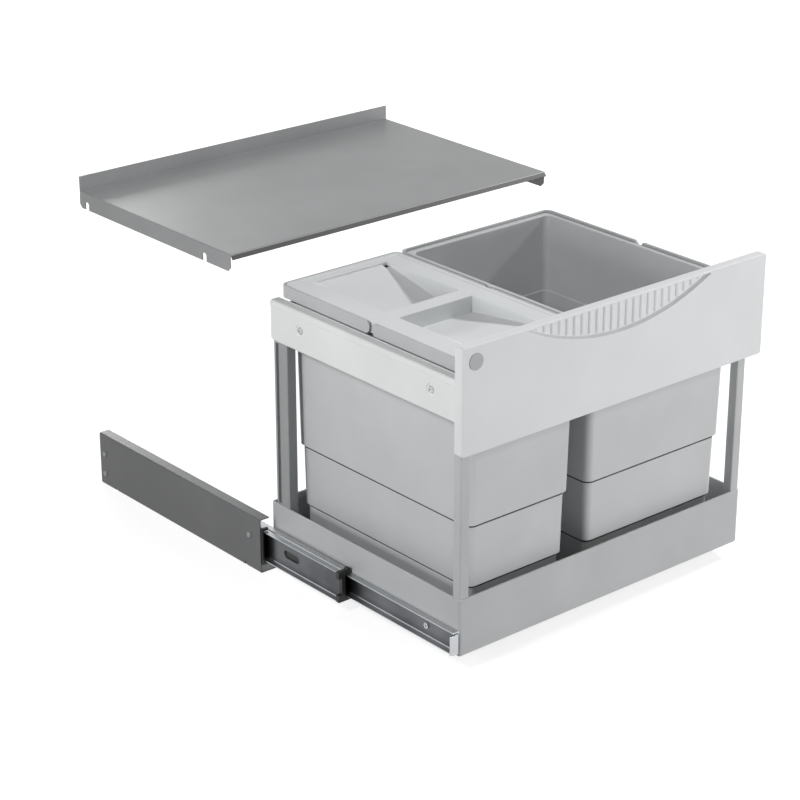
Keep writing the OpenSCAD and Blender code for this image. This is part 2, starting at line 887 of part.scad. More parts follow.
color(channel_grey) on_left() channel();  // left_channel
color(channel_grey) channel();  // right_channel
color(steel) on_left() cabinet_rail();  // left_cabinet_rail
color(steel) cabinet_rail();  // right_cabinet_rail
color(channel_grey) on_left() rivet(rivet_places()[0]);  // left_rivet_front
color(channel_grey) on_left() rivet(rivet_places()[1]);  // left_rivet_back_high
color(channel_grey) on_left() rivet(rivet_places()[2]);  // left_rivet_back_low
color(channel_grey) rivet(rivet_places()[0]);  // right_rivet_front
color(channel_grey) rivet(rivet_places()[1]);  // right_rivet_back_high
color(channel_grey) rivet(rivet_places()[2]);  // right_rivet_back_low
color(black) on_left() rail_bumper();  // left_rail_bumper
color(black) rail_bumper();  // right_rail_bumper
color(steel) cover_shelf();
color(steel) on_left() outer_cage();  // left_outer_cage
color(steel) outer_cage();  // right_outer_cage
color(steel) on_left() middle_rail();  // left_middle_rail
color(steel) middle_rail();  // right_middle_rail
color(black) on_left() middle_stop();  // left_middle_stop
color(black) middle_stop();  // right_middle_stop
color(steel) on_left() inner_cage();  // left_inner_cage
color(steel) inner_cage();  // right_inner_cage
color(tray_grey) tray();
color(steel) on_left() tray_rail(0, true);  // left_tray_rail
color(steel) tray_rail(right_rail_in, false);  // right_tray_rail
color(steel) on_left() rail_screw(rail_screw_ys()[0]);  // left_rail_screw_front
color(steel) on_left() rail_screw(rail_screw_ys()[1]);  // left_rail_screw_back
color(steel) rail_screw(rail_screw_ys()[0]);  // right_rail_screw_front
color(steel) rail_screw(rail_screw_ys()[1]);  // right_rail_screw_back
color(tray_grey) on_left() front_post();  // front_left_post
color(tray_grey) front_post();  // front_right_post
color(tray_grey) on_left() rear_post();  // rear_left_post
color(tray_grey) rear_post();  // rear_right_post
color(tray_grey) on_left() side_bar();  // left_side_bar
color(tray_grey) side_bar();  // right_side_bar
color(tray_grey) rear_bar();
color(panel_white) on_left() side_panel();  // left_side_panel
color(panel_white) side_panel();  // right_side_panel
color(steel) on_left() panel_screw(screw_front_y);  // left_panel_screw_front
color(steel) on_left() panel_screw(screw_back_y);  // left_panel_screw_back
color(steel) panel_screw(screw_front_y);  // right_panel_screw_front
color(steel) panel_screw(screw_back_y);  // right_panel_screw_back
color(panel_white) front_panel();
color(steel) on_left() front_screw(front_screw_zs()[1]);  // front_screw_left_high
color(steel) on_left() front_screw(front_screw_zs()[0]);  // front_screw_left_low
color(steel) front_screw(front_screw_zs()[1]);  // front_screw_right_high
color(steel) front_screw(front_screw_zs()[0]);  // front_screw_right_low
color(bin_grey) bin(left_bin_x, left_bin_w);  // left_bin
color(bin_grey) bin(right_bin_x, right_bin_w);  // right_bin
color(bin_grey) handle_front(left_bin_x, left_bin_w);  // left_bin_handle_front
color(bin_grey) handle_back(left_bin_x, left_bin_w);  // left_bin_handle_back
color(bin_grey) handle_front(right_bin_x, right_bin_w);  // right_bin_handle_front
color(bin_grey) handle_back(right_bin_x, right_bin_w);  // right_bin_handle_back
color(bin_grey) lid();  // left_bin_lid
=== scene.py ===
import math
import bmesh
import bpy
import mathutils
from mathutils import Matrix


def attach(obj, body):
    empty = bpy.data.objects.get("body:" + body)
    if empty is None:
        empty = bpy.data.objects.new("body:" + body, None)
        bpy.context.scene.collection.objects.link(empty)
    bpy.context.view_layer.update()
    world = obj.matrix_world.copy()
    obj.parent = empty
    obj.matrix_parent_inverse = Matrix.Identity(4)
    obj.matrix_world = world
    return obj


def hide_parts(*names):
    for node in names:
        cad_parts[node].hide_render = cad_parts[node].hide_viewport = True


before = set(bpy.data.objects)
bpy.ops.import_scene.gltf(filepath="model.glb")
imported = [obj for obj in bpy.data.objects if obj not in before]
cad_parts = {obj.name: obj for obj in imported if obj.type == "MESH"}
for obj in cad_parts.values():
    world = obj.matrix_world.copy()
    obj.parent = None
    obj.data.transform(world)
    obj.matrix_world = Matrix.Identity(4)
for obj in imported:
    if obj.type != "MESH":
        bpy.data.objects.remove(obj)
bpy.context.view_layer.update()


# Camera: it stands left of the drawn-out frame and above it, as in the photograph.
# A long lens keeps the perspective flat.
looks_down, turned_right = 22.83, 40.27
lens = bpy.data.cameras.new("camera")
lens.sensor_width = 36.0
lens.lens = 107.45
lens.clip_end = 60.0
camera = bpy.data.objects.new("camera", lens)
camera.location = (-2.0087, -2.3298, 1.4733)
camera.rotation_euler = (math.radians(90 - looks_down), 0.0, math.radians(-turned_right))
bpy.context.scene.collection.objects.link(camera)
bpy.context.scene.camera = camera


# Side channels: U-shaped strips of folded steel sheet, 1.5 mm thick, one screwed down
# against each cabinet side. A long foot lies on the cabinet floor and a short flange
# stiffens the top. Dark grey powder coat, baked on, with a fine orange peel.
def linear(code):
    """Turns an sRGB hex colour into a linear one, as the nodes want it."""
    parts = [int(code[i:i + 2], 16) / 255.0 for i in (1, 3, 5)]
    return [c / 12.92 if c <= 0.04045 else ((c + 0.055) / 1.055) ** 2.4 for c in parts] + [1.0]


def add(tree, kind, settings, **links):
    """Adds a node with its settings, and links sockets of other nodes to its inputs."""
    node = tree.nodes.new(kind)
    for key, value in settings.items():
        if key in node.inputs:
            node.inputs[key].default_value = value
        else:
            setattr(node, key, value)
    for key, source in links.items():
        tree.links.new(source, node.inputs[key.replace("_", " ")])
    return node


def coat(name, low, high, roughness, grain_mm, grain_depth, metallic=0.0, stretch=(1, 1, 1)):
    """A coat or skin: slow tone changes over 90 mm, and a fine grain that the light catches."""
    patch, unevenness = 0.09, 0.06
    made = bpy.data.materials.new(name)
    made.use_nodes = True
    tree = made.node_tree
    shine = tree.nodes["Principled BSDF"]
    shine.inputs["Metallic"].default_value = metallic
    place = add(tree, "ShaderNodeTexCoord", {}).outputs["Object"]
    slow = add(tree, "ShaderNodeTexNoise", {"Scale": 1 / patch, "Detail": 3.0}, Vector=place)
    ramp = add(tree, "ShaderNodeValToRGB", {}, Fac=slow.outputs["Fac"])
    for stop, position, code in ((0, 0.3, low), (1, 0.7, high)):
        ramp.color_ramp.elements[stop].position = position
        ramp.color_ramp.elements[stop].color = linear(code)
    tree.links.new(ramp.outputs["Color"], shine.inputs["Base Color"])
    laid = add(tree, "ShaderNodeMapping", {"Scale": stretch}, Vector=place)
    fine = add(tree, "ShaderNodeTexNoise", {"Scale": 1000.0 / grain_mm, "Detail": 2.0},
               Vector=laid.outputs["Vector"])
    gloss = add(tree, "ShaderNodeMapRange",
                {"To Min": roughness - unevenness, "To Max": roughness + unevenness},
                Value=fine.outputs["Fac"])
    tree.links.new(gloss.outputs["Result"], shine.inputs["Roughness"])
    relief = add(tree, "ShaderNodeBump", {"Strength": 0.5, "Distance": grain_depth / 1000.0},
                 Height=fine.outputs["Fac"])
    tree.links.new(relief.outputs["Normal"], shine.inputs["Normal"])
    return made


def clear():
    """Leaves edit mode and deselects everything."""
    if bpy.context.object and bpy.context.object.mode != "OBJECT":
        bpy.ops.object.mode_set(mode="OBJECT")
    bpy.ops.object.select_all(action="DESELECT")


def take(piece):
    """Selects one piece alone and makes it the active one."""
    clear()
    piece.select_set(True)
    bpy.context.view_layer.objects.active = piece


def apply(piece, kind, **settings):
    """Adds a modifier with its settings and applies it."""
    change = piece.modifiers.new(kind.lower(), kind)
    for key, value in settings.items():
        setattr(change, key, value)
    take(piece)
    bpy.ops.object.modifier_apply(modifier=change.name)


def smooth(piece):
    """Shades the rounded stretches smooth and leaves the edges sharp."""
    take(piece)
    bpy.ops.object.shade_smooth_by_angle(angle=math.radians(30))


def soften(piece, width, segments=2, angle=40):
    """Rounds the edges that are sharper than an angle."""
    apply(piece, "BEVEL", width=width, segments=segments, limit_method="ANGLE",
          angle_limit=math.radians(angle))
    smooth(piece)


def dress(piece, body, slot, paint, *nodes):
    """Finishes a piece: its place in its mesh, its material, its body, and the solids it stands for."""
    take(piece)
    bpy.ops.object.transform_apply(location=True, rotation=True, scale=True)
    apply(piece, "WEIGHTED_NORMAL", keep_sharp=True)
    piece.data.materials.clear()
    piece.data.materials.append(paint)
    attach(piece, body)
    if nodes:
        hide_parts(*nodes)


def draw_wall(name, path, run):
    """A wall without thickness along a path of places, as high as run, left in edit mode."""
    clear()
    bpy.ops.mesh.primitive_plane_add(size=0.001, location=path[0])
    piece = bpy.context.active_object
    piece.name = name
    bpy.ops.object.transform_apply(location=True)
    bpy.ops.object.mode_set(mode="EDIT")
    bpy.ops.mesh.select_mode(type="VERT")
    bpy.ops.mesh.merge(type="CENTER")
    for here, there in zip(path, path[1:]):
        step = [b - a for a, b in zip(here, there)]
        bpy.ops.mesh.extrude_region_move(TRANSFORM_OT_translate={"value": step})
    bpy.ops.mesh.select_all(action="SELECT")
    bpy.ops.mesh.extrude_region_move(TRANSFORM_OT_translate={"value": run})
    return piece


def fold_sheet(name, profile, run, thick, radius, least=25):
    """Sheet folded along a profile of places at mid thickness, as long as run, with rounded bends."""
    piece = draw_wall(name, profile, run)
    bpy.ops.mesh.select_all(action="SELECT")
    bpy.ops.mesh.normals_make_consistent(inside=False)
    bpy.ops.object.mode_set(mode="OBJECT")
    apply(piece, "BEVEL", width=radius, segments=4, limit_method="ANGLE", angle_limit=math.radians(least))
    apply(piece, "SOLIDIFY", thickness=thick, offset=0.0)
    return piece


def cut(piece, *cutters):
    """Takes the cutters out of the piece."""
    for cutter in cutters:
        apply(piece, "BOOLEAN", operation="DIFFERENCE", solver="EXACT", object=cutter)
    clear()
    for cutter in cutters:
        cutter.select_set(True)
    bpy.ops.object.delete()


def rod(radius, length, middle, along="X", sides=32):
    """A round bar, as a cutter or as stock for a pin."""
    turn = {"X": (0, math.pi / 2, 0), "Y": (math.pi / 2, 0, 0), "Z": (0, 0, 0)}[along]
    clear()
    bpy.ops.mesh.primitive_cylinder_add(vertices=sides, radius=radius, depth=length,
                                        location=middle, rotation=turn)
    bpy.ops.object.transform_apply(location=True, rotation=True)
    return bpy.context.active_object


def block(corner, opposite):
    """A block between two opposite corners, as a cutter or as stock."""
    clear()
    bpy.ops.mesh.primitive_cube_add(size=1, location=[(a + b) / 2 for a, b in zip(corner, opposite)])
    made = bpy.context.active_object
    made.scale = [abs(b - a) for a, b in zip(corner, opposite)]
    bpy.ops.object.transform_apply(location=True, scale=True)
    return made


def join(first, *others):
    """Makes one piece of several."""
    take(first)
    for piece in others:
        piece.select_set(True)
    bpy.ops.object.join()


def choose(piece, kind, test):
    """In edit mode, selects the corners, edges or faces of which every corner passes the test."""
    bpy.context.view_layer.objects.active = piece
    if piece.mode != "EDIT":
        bpy.ops.object.mode_set(mode="EDIT")
    bpy.ops.mesh.select_all(action="DESELECT")
    bpy.ops.mesh.select_mode(type={"verts": "VERT", "edges": "EDGE", "faces": "FACE"}[kind])
    form = bmesh.from_edit_mesh(piece.data)
    for part in getattr(form, kind):
        corners = [part] if kind == "verts" else part.verts
        if all(test(corner.co) for corner in corners):
            part.select_set(True)
    bmesh.update_edit_mesh(piece.data)


# a dark, even tone with a soft sheen that the orange peel breaks up
channel_paint = coat("powder_coat_dark_grey", "#58595a", "#5f6061", 0.42, 1.3, 0.05)
# painted highlight: the heads are coloured lighter than the channel, and are smoother, so each shows one
# small bright spot
rivet_painted_highlight = coat("rivet_heads_painted_highlight", "#8e9091", "#989a9b", 0.26, 1.3, 0.02)
tray_wall, channel_out = 0.255, 0.282
channel_high, channel_long, channel_sheet, channel_bend = 0.080, 0.386, 0.0015, 0.0016
foot_wide, flange_wide, foot_hole_r, foot_hole_x = 0.0296, 0.016, 0.0025, 0.262
notch_half, notch_high, tab_y, tab_high = 0.002, 0.005, 0.040, 0.007
rivet_r, rivet_proud = 0.0042, 0.0018
for side, name in ((-1, "left"), (1, "right")):
    outer = side * (channel_out - channel_sheet / 2)
    upper_z, lower_z = channel_high - channel_sheet / 2, channel_sheet / 2
    channel = fold_sheet(name + "_side_channel",
                         [(side * (channel_out - flange_wide), 0.0, upper_z), (outer, 0.0, upper_z),
                          (outer, 0.0, lower_z), (side * (channel_out - foot_wide), 0.0, lower_z)],
                         (0.0, channel_long, 0.0), channel_sheet, channel_bend)
    cutters = []
    for y in (0.034, 0.348):
        cutters.append(block((outer - notch_half, y - notch_half, -0.001),
                             (outer + notch_half, y + notch_half, notch_high)))
    for y in (0.025, 0.225, 0.366):
        cutters.append(rod(foot_hole_r, 0.006, (side * foot_hole_x, y, lower_z), "Z"))
    cut(channel, *cutters)
    tab = block((outer, tab_y, 0.0), (outer - side * 0.003, tab_y + channel_sheet, tab_high))
    join(channel, tab)
    soften(channel, 0.00025)
    dress(channel, "cabinet_side", "channel_paint", channel_paint, name + "_channel")
    for rivet, y, z in (("_rivet_front", 0.025, 0.049), ("_rivet_back_high", 0.375, 0.049),
                        ("_rivet_back_low", 0.375, 0.018)):
        head = rod(rivet_r, rivet_proud, (side * (channel_out + rivet_proud / 2), y, z))
        head.name = name + rivet
        choose(head, "faces", lambda p: abs(p.x) > channel_out + rivet_proud / 2)
        bpy.ops.mesh.bevel(offset=0.0016, segments=5, affect="EDGES")
        bpy.ops.object.mode_set(mode="OBJECT")
        smooth(head)
        dress(head, "cabinet_side", "channel_paint", rivet_painted_highlight, name + rivet)


# Outer slide members: C-shaped rails rolled from zinc-plated steel, riveted to the channels
# and open towards the tray. A black plastic piece closes each front end, and the ball cages
# and the middle members' stops are of the same plastic.
def second_coat(piece, paint, test):
    """Gives the faces whose direction and middle pass the test one more material."""
    piece.data.materials.append(paint)
    for face in piece.data.polygons:
        if test(face.normal, face.center):
            face.material_index = len(piece.data.materials) - 1


def repaint(node, paint):
    """Gives a solid that is shown as it is another finish."""
    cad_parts[node].data.materials.clear()
    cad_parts[node].data.materials.append(paint)


def rolled_rail(name, tip, web, start_y, long, half_high, thick, radius):
    """A C-shaped rail along Y, from one tip over its web to the other tip, at mid thickness."""
    profile = [(tip, start_y, slide_z + half_high), (web, start_y, slide_z + half_high),
               (web, start_y, slide_z - half_high), (tip, start_y, slide_z - half_high)]
    return fold_sheet(name, profile, (0.0, long, 0.0), thick, radius)


def darken_web(rail, half_flat, start_y):
    """Paints the upright web of a rail darker, as painted shade, between its ball tracks and behind its front
    end.
    """
    second_coat(rail, web_painted_shade, lambda way, spot: abs(way.x) > 0.8
                and abs(spot.z - slide_z) < half_flat and spot.y > start_y)


# bright and even, with thin lines along the rail from the rolls
slide_steel = coat("zinc_plated_rolled_steel", "#b4b7b9", "#c6c8ca", 0.3, 0.9, 0.02, metallic=1.0,
                   stretch=(1.0, 0.04, 1.0))
# painted shade: the web is coloured dark for the shade inside the rail's C, and streaked lengthwise
web_painted_shade = coat("zinc_slide_web_painted_shade", "#55575a", "#77797c", 0.34, 1.4, 0.03, metallic=1.0,
                 stretch=(1.0, 0.03, 1.0))
# near black with a broad, weak highlight
stop_plastic = coat("moulded_black_nylon", "#191919", "#222223", 0.5, 0.7, 0.02)
slide_z = 0.040
# where the tips and the web stand beside the tray's wall, half the height and half the flat web's
outer_tip, outer_web, outer_half, outer_flat = 0.0157, 0.02475, 0.02625, 0.0245
outer_long, outer_sheet, outer_bend = 0.382, 0.0014, 0.0022
for side, name in ((-1, "left"), (1, "right")):
    rail = rolled_rail(name + "_outer_member", side * (tray_wall + outer_tip), side * (tray_wall + outer_web),
                       0.0, outer_long, outer_half, outer_sheet, outer_bend)
    soften(rail, 0.0002)
    dress(rail, "cabinet_side", "slide_steel", slide_steel, name + "_cabinet_rail")
    darken_web(rail, outer_flat, 0.0)
    for node in ("_rail_bumper", "_outer_cage", "_inner_cage", "_middle_stop"):
        repaint(name + node, stop_plastic)


# Middle slide members: two rolled channels back to back, which run on balls at both sides.
# The web has an oval slot near its front end.
middle_front, middle_long, middle_half, middle_flat = -0.157, 0.350, 0.0212, 0.0195
middle_sheet, middle_bend = 0.0013, 0.0018
slot_start, slot_end, slot_r = middle_front + 0.094, middle_front + 0.116, 0.0055
for side, name in ((-1, "left"), (1, "right")):
    halves = []
    for reach, web in ((0.0037, 0.0129), (0.0223, 0.0136)):
        back = side * (tray_wall + web)
        half = rolled_rail(name + "_middle_member", side * (tray_wall + reach), back,
                           middle_front, middle_long, middle_half, middle_sheet, middle_bend)
        slot_box = block((back - 0.003, slot_start, slide_z - slot_r),
                         (back + 0.003, slot_end, slide_z + slot_r))
        slot_ends = [rod(slot_r, 0.006, (back, y, slide_z)) for y in (slot_start, slot_end)]
        cut(half, slot_box, *slot_ends)
        halves.append(half)
    middle = halves[0]
    join(*halves)
    soften(middle, 0.0002)
    dress(middle, name + "_middle_member", "slide_steel", slide_steel, name + "_middle_rail")
    darken_web(middle, middle_flat, middle_front)


# Inner slide members: shallow C-shaped rails screwed to the tray walls. A tab bent outward
# closes the left one in front; the right one starts behind the tray's corner.
front_y = -0.374
inner_end, right_setback = 0.006, 0.014
inner_tip, inner_web, inner_half, inner_flat = 0.0103, 0.00075, 0.01525, 0.0135
inner_sheet, inner_bend = 0.0015, 0.0018
for side, name in ((-1, "left"), (1, "right")):
    start_y = front_y if side < 0 else front_y + right_setback
    rail = rolled_rail(name + "_inner_member", side * (tray_wall + inner_tip), side * (tray_wall + inner_web),
                       start_y, inner_end - start_y, inner_half, inner_sheet, inner_bend)
    if side < 0:
        tab = block((-tray_wall - 0.0148, front_y, slide_z - 0.0145),
                    (-tray_wall, front_y + inner_sheet, slide_z + 0.012))
        join(rail, tab)
    soften(rail, 0.0002)
    dress(rail, "frame", "slide_steel", slide_steel, name + "_tray_rail")
    darken_web(rail, inner_flat, front_y + 0.002)
    for screw in ("_rail_screw_front", "_rail_screw_back", "_panel_screw_front", "_panel_screw_back"):
        repaint(name + screw, slide_steel)
    for height in ("_high", "_low"):
        repaint("front_screw_" + name + height, slide_steel)


# Tray: a box folded from 1.5 mm steel sheet, welded at its corners, with the top edge
# hemmed inward. Four low beads on the floor keep the bins' feet in place. Light grey coat.
def ring(width, depth, radius, x, y, z, mark):
    """One rounded outline of a shell, marked with its number."""
    bpy.ops.mesh.primitive_plane_add(size=1, location=(x, y, z))
    bpy.ops.transform.resize(value=(width, depth, 1), center_override=(x, y, z))
    bpy.ops.mesh.bevel(offset_type="OFFSET", offset=radius, segments=8, affect="VERTICES")
    shell = bmesh.from_edit_mesh(bpy.context.active_object.data)
    layer = shell.verts.layers.int.get("ring")
    if layer is None:
        layer = shell.verts.layers.int.new("ring")
    for corner in shell.verts:
        if corner.select:
            corner[layer] = mark
    bpy.ops.mesh.delete(type="ONLY_FACE")


def pick(*marks):
    """Selects the outlines with these numbers."""
    bpy.ops.mesh.select_all(action="DESELECT")
    bpy.ops.mesh.select_mode(type="VERT")
    shell = bmesh.from_edit_mesh(bpy.context.active_object.data)
    layer = shell.verts.layers.int["ring"]
    for corner in shell.verts:
        if corner[layer] in marks:
            corner.select = True
    shell.select_flush(True)
    bmesh.update_edit_mesh(bpy.context.active_object.data)


def shell_of(name, x, y, outlines, closed=True):
    """A wall drawn through rounded outlines (width, depth, corner radius, height), first to last."""
    clear()
    bpy.ops.mesh.primitive_plane_add(size=1, location=(0, 0, 0))
    piece = bpy.context.active_object
    piece.name = name
    bpy.ops.object.mode_set(mode="EDIT")
    bpy.ops.mesh.delete(type="VERT")
    # outlines at one height stand this far apart, which the bridge needs to pair them
    apart = 0.00003
    for number, (width, depth, radius, z) in enumerate(outlines, 1):
        ring(width, depth, radius, x, y, z + apart * (number % 2), number)
        if number > 1:
            pick(number - 1, number)
            bpy.ops.mesh.bridge_edge_loops()
    if closed:
        for number in (1, len(outlines)):
            pick(number)
            bpy.ops.mesh.edge_face_add()
    bpy.ops.mesh.select_all(action="SELECT")
    bpy.ops.mesh.normals_make_consistent(inside=False)
    bpy.ops.object.mode_set(mode="OBJECT")
    return piece


# light and half matt, with the same fine orange peel as the channels
tray_paint = coat("powder_coat_light_grey", "#b2b4b5", "#bbbdbe", 0.44, 1.3, 0.05)
tray_wide, tray_deep, tray_low, tray_high = 0.510, 0.382, 0.018, 0.098
tray_y = front_y + tray_deep / 2
# what each outline lacks of the full size, its corner radius and its height: up outside, down inside
tray_steps = ((0.004, 0.002, tray_low), (0.0, 0.004, tray_low + 0.002), (0.0, 0.004, tray_high - 0.0007),
              (0.0012, 0.0035, tray_high), (0.0048, 0.0015, tray_high), (0.006, 0.001, tray_high - 0.0007),
              (0.006, 0.001, tray_high - 0.009), (0.003, 0.0025, tray_high - 0.0092),
              (0.003, 0.0025, tray_low + 0.003), (0.006, 0.001, tray_low + 0.0015))
tray = shell_of("tray", 0.0, tray_y,
                [(tray_wide - less, tray_deep - less, radius, z) for less, radius, z in tray_steps])
bead_start, bead_end, bead_low, bead_high = front_y + 0.05, front_y + 0.332, 0.0185, 0.0245
bead_half = 0.0015
beads = []
for x in (-0.2196, -0.0604, -0.0166, 0.2196):
    beads.append(block((x - bead_half, bead_start, bead_low), (x + bead_half, bead_end, bead_high)))
join(tray, *beads)
soften(tray, 0.0005, 2, 50)
dress(tray, "frame", "tray_paint", tray_paint, "tray")


# Posts: square tubes at the front, and folded sections with a groove at the back, which are coloured
# darker than the tray. They stand inside the tray and carry the front and the side panels. Steel bars join
# them behind the side panels and across the back.
post_out, post_wide, post_deep, post_wall = 0.2535, 0.015, 0.014, 0.0015
post_foot, post_top, rear_start, rear_end = 0.0195, 0.386, -0.030, -0.002
groove_low, groove_high, groove_deep, groove_start, groove_end = 0.100, 0.331, 0.0045, -0.0135, -0.0065
side_bar_thick, side_bar_low, side_bar_high = 0.003, 0.3525, 0.3745
# half matt, a shade darker than the tray
rear_paint = coat("powder_coat_grey_rear_posts", "#8e9091", "#969899", 0.44, 1.3, 0.05)
for side, name in ((-1, "left"), (1, "right")):
    post = shell_of("front_" + name + "_post", side * (post_out - post_wide / 2), front_y + 0.0085, [
        (post_wide, post_deep, 0.002, post_foot), (post_wide, post_deep, 0.002, post_top),
        (post_wide - 2 * post_wall, post_deep - 2 * post_wall, 0.001, post_top),
        (post_wide - 2 * post_wall, post_deep - 2 * post_wall, 0.001, post_foot + 0.001)])
    soften(post, 0.0003)
    dress(post, "frame", "tray_paint", tray_paint, "front_" + name + "_post")
    outer = side * post_out
    rear = block((side * (post_out - post_wide), rear_start, post_foot), (outer, rear_end, post_top))
    rear.name = "rear_" + name + "_post"
    soften(rear, 0.0015, 4, 60)
    groove = block((outer - groove_deep, groove_start, groove_low),
                   (outer + groove_deep, groove_end, groove_high))
    soften(groove, 0.001, 3, 60)
    cut(rear, groove)
    soften(rear, 0.0003)
    dress(rear, "frame", "tray_paint", rear_paint, "rear_" + name + "_post")
    bar = block((side * (post_out - side_bar_thick), front_y + 0.0155, side_bar_low),
                (outer, rear_start, side_bar_high))
    bar.name = name + "_side_bar"
    soften(bar, 0.0004)
    dress(bar, "frame", "tray_paint", tray_paint, name + "_side_bar")
bar_half, bar_front, bar_back, bar_low, bar_high = 0.2385, -0.010, -0.00275, 0.34875, 0.38125
rear_bar = fold_sheet("rear_bar", [(-bar_half, bar_front, bar_high), (-bar_half, bar_back, bar_high),
                                   (-bar_half, bar_back, bar_low), (-bar_half, bar_front, bar_low)],
                      (2 * bar_half, 0.0, 0.0), 0.0015, 0.002)
soften(rear_bar, 0.0002)
dress(rear_bar, "frame", "tray_paint", tray_paint, "rear_bar")


# Side panels: strips of steel sheet folded inward at the foot and rolled over to a ledge on
# top, with a raised rounded edge. One screw near each end sits in a pressed dimple.
def bar_on_edge(size, wide, middle):
    """A square bar along X that stands on one edge, as a cutter for a V-shaped notch."""
    clear()
    bpy.ops.mesh.primitive_cube_add(size=size, location=middle, rotation=(math.pi / 4, 0, 0))
    bpy.context.active_object.scale.x = wide / size
    return bpy.context.active_object


# nearly white, so that its rolled edges show only as thin lines of shade
panel_paint = coat("powder_coat_pale_grey", "#dddfdf", "#e3e4e4", 0.4, 1.3, 0.05)
panel_front, panel_sheet, panel_bend = front_y + 0.0015, 0.002, 0.0026
panel_profile = [(0.2455, 0.334), (0.2549, 0.334), (0.2549, 0.3812), (0.2555, 0.3820),
                 (0.2555, 0.3890), (0.2425, 0.3890), (0.2415, 0.3897)]
dimple_x, dimple_z, dimple_r, dimple_rim_r, dimple_deep = 0.2556, 0.3635, 0.0072, 0.0088, 0.0020
for side, name in ((-1, "left"), (1, "right")):
    panel = fold_sheet(name + "_side_panel", [(side * x, panel_front, z) for x, z in panel_profile],
                       (0.0, -panel_front, 0.0), panel_sheet, panel_bend, 60)
    cutters = []
    # the folded foot leaves room for both posts
    for start, end in ((front_y, -0.3582), (-0.0303, -0.0017)):
        cutters.append(block((side * 0.238, start, 0.332), (side * 0.2537, end, 0.336)))
    cutters.append(bar_on_edge(0.007, 0.028, (side * 0.250, 0.0, 0.333)))
    for y in (-0.318, -0.061):
        clear()
        bpy.ops.mesh.primitive_cone_add(vertices=48, radius1=dimple_r, radius2=dimple_rim_r,
                                        depth=dimple_deep, location=(side * dimple_x, y, dimple_z),
                                        rotation=(0, side * math.pi / 2, 0))
        cutters.append(bpy.context.active_object)
    cut(panel, *cutters)
    soften(panel, 0.0003)
    dress(panel, "frame", "panel_paint", panel_paint, name + "_side_panel")


# Front panel: moulded ABS with a fine satin grain, screwed to the front posts from behind.
# A shallow recess under the top edge, bounded below by a long arc, is ribbed for the fingers.
front_half, face_y, foot_z, head_z = 0.266, -0.387, 0.298, 0.439
# satin: broad, weak highlights; its grain is drawn at 0.6 mm, coarser than real, so that it shows
front_plastic = coat("moulded_abs_satin_pale_grey", "#dcdedf", "#e1e2e3", 0.6, 0.6, 0.015)
# places that are closer together than this are one place
hair = 1e-5
front = block((-front_half, face_y, foot_z), (front_half, panel_front, head_z))
front.name = "front_panel"
for x in (-front_half, front_half):
    for z in (foot_z, head_z):
        choose(front, "edges", lambda p: abs(p.x - x) < hair and abs(p.z - z) < hair)
        bpy.ops.mesh.bevel(offset=0.004, segments=6, affect="EDGES")
bpy.ops.object.mode_set(mode="OBJECT")
soften(front, 0.0012, 4, 60)
arc_half, arc_high, arc_top, recess = 0.161, 0.040, 0.436, 0.005
arc_r = (arc_half ** 2 + arc_high ** 2) / (2 * arc_high)
arc_z = arc_top + arc_r - arc_high
bowl_deep = 0.006
clear()
bpy.ops.mesh.primitive_cone_add(vertices=320, radius1=arc_r + 0.0006, radius2=arc_r - 0.0024,
                                depth=bowl_deep, rotation=(-math.pi / 2, 0, 0),
                                location=(0, face_y + recess - bowl_deep / 2, arc_z))
bowl = bpy.context.active_object
bpy.ops.object.transform_apply(location=True, rotation=True)
bpy.ops.object.mode_set(mode="EDIT")
bpy.ops.mesh.select_all(action="SELECT")
bpy.ops.mesh.bisect(plane_co=(0, 0, arc_top), plane_no=(0, 0, 1), use_fill=True, clear_outer=True)
bpy.ops.object.mode_set(mode="OBJECT")
cut(front, bowl)
soften(front, 0.0005, 2, 35)
rib_r, rib_y, rib_pitch = 0.0046, face_y + recess + 0.0028, 2 * arc_half / 25
stock_low, stock_high = 0.405, 0.435
stock_middle = (stock_low + stock_high) / 2
stock = rod(rib_r, stock_high - stock_low, (0, rib_y, stock_middle), "Z", 24)
stock.name = "grip_rib"
choose(stock, "edges", lambda p: p.z < stock_low + 0.001)
bpy.ops.mesh.bevel(offset=0.0042, segments=5, affect="EDGES")
bpy.ops.object.mode_set(mode="OBJECT")
ribs = []
for number in range(-11, 12):
    x = number * rib_pitch
    # each rib ends just above the arc, measured at the rib's lower flank
    low = arc_z - math.sqrt(arc_r ** 2 - (abs(x) + 0.0026) ** 2) + 0.0016
    rib = stock.copy()
    rib.data = stock.data.copy()
    bpy.context.scene.collection.objects.link(rib)
    for corner in rib.data.vertices:
        corner.co.x += x
        corner.co.z += arc_top + 0.0002 - stock_high if corner.co.z > stock_middle else low - stock_low
    ribs.append(rib)
bpy.data.objects.remove(stock)
join(front, *ribs)
smooth(front)
dress(front, "frame", "front_plastic", front_plastic, "front_panel")


# Blank disc near the front panel's upper left corner: a bare moulded ABS button, 22 mm
# across, pressed into the panel so that it stands about 1 mm proud.
disc_r, disc_thick, disc_x, disc_z = 0.011, 0.0016, -0.2445, 0.4185
# mid grey and a little glossier than the panel round it
disc_plastic = coat("moulded_abs_mid_grey", "#a9abad", "#afb1b3", 0.4, 0.6, 0.015)
disc = rod(disc_r, disc_thick, (disc_x, face_y - 0.0003, disc_z), "Y", 64)
disc.name = "blank_disc"
soften(disc, 0.0005, 3, 60)
dress(disc, "frame", "front_plastic", disc_plastic)


# Bins: injection-moulded polypropylene, 2 mm thick, tapered so that they stack, with two
# steps outside and an undercut line below each, a ledge inside, and a flat rim with a
# downturned skirt.
def wall(size, z, steps):
    """How wide or deep a bin's wall is at a height, above or below the steps."""
    return size - 0.022 - 0.006 * steps - 0.028 * (rim_z - z)


